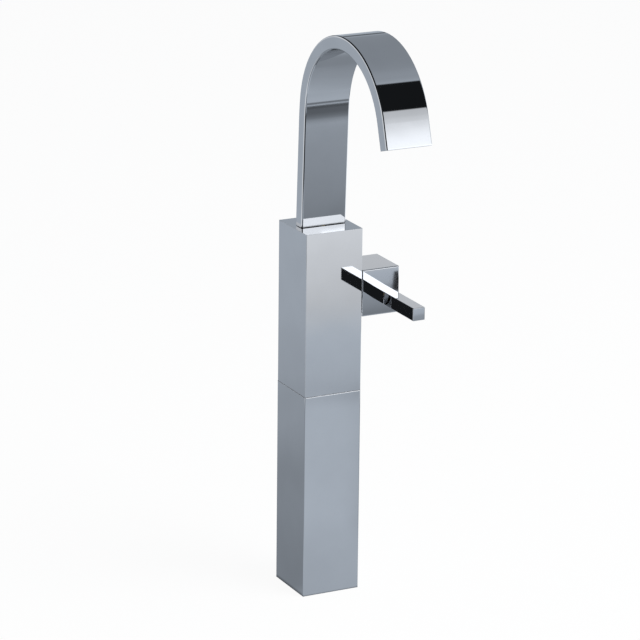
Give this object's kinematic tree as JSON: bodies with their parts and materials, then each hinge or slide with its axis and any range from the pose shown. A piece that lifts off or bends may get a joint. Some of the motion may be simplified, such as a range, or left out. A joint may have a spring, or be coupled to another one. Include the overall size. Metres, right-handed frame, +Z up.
{
  "type": "basin mixer",
  "caption": "Tall square-column basin mixer in chrome: a flat rectangular cane spout swivels on top, and a square bar lever on a side hub turns for heat and tilts for flow.",
  "frame": {"origin": "middle of the column's foot, on the deck", "axes": "+Z up the column, +X to the right towards the lever's hub, -Y to the front, the way the spout points"},
  "size_m": [0.0785, 0.1565, 0.4299],
  "materials": {
    "chrome": "polished",
    "raw_brass": "machined",
    "steel": "zinc plated",
    "black_rubber": "matte",
    "white_plastic": "matte",
    "dark_plastic": "matte",
    "grey_plastic": "satin",
    "disc_ceramic": "lapped"
  },
  "bodies": {
    "column": {"body_shell": "chrome", "column_extension": "chrome", "seam_gasket": "grey_plastic", "base_plate": "steel", "foot_gasket": "black_rubber", "tie_rod": "steel", "tie_washer": "steel", "tie_nut": "steel", "valve_block": "raw_brass", "swivel_stop_screw": "steel", "thrust_washer": "white_plastic", "cartridge_base": "white_plastic", "port_seals": "black_rubber", "fixed_disc": "disc_ceramic", "cartridge_housing": "white_plastic", "cartridge_nut": "raw_brass", "cartridge_collar": "chrome"},
    "spout": {"spout": "chrome", "foot_grub_screw": "steel", "spout_spigot": "raw_brass", "spigot_rings": "black_rubber", "glide_ring": "white_plastic", "aerator_frame": "dark_plastic", "aerator_grid": "dark_plastic", "aerator_screen": "steel", "aerator_seal": "black_rubber"},
    "guide": {"stem_guide": "white_plastic", "stem_pivot_pin": "steel"},
    "disc": {"moving_disc": "disc_ceramic", "disc_carrier": "white_plastic"},
    "lever": {"lever_stem": "steel", "handle_hub": "chrome", "hub_grub_screw": "steel", "hub_screw_cap": "grey_plastic", "lever_bar": "chrome", "bar_grub_screw": "steel"}
  },
  "joints": [
    {"name": "spout_swivel", "type": "hinge", "parent": "column", "child": "spout", "pos_m": [0, 0, 0.2769], "axis": [0, 0, 1], "range_deg": [-60, 60]},
    {"name": "lever_turn", "type": "hinge", "parent": "column", "child": "guide", "pos_m": [0.0183, 0, 0.2259], "axis": [1, 0, 0], "range_deg": [-45, 45]},
    {"name": "lever_tilt", "type": "hinge", "parent": "guide", "child": "lever", "pos_m": [0.01955, 0, 0.2259], "axis": [0, 0, 1], "range_deg": [0, 18]},
    {"name": "disc_slide", "type": "slide", "parent": "guide", "child": "disc", "axis": [0, -1, 0], "range_m": [0, 0.00242]}
  ],
  "couplings": [
    {"joint": "disc_slide", "follows": "lever_tilt", "m_per_rad": 0.0076723}
  ]
}
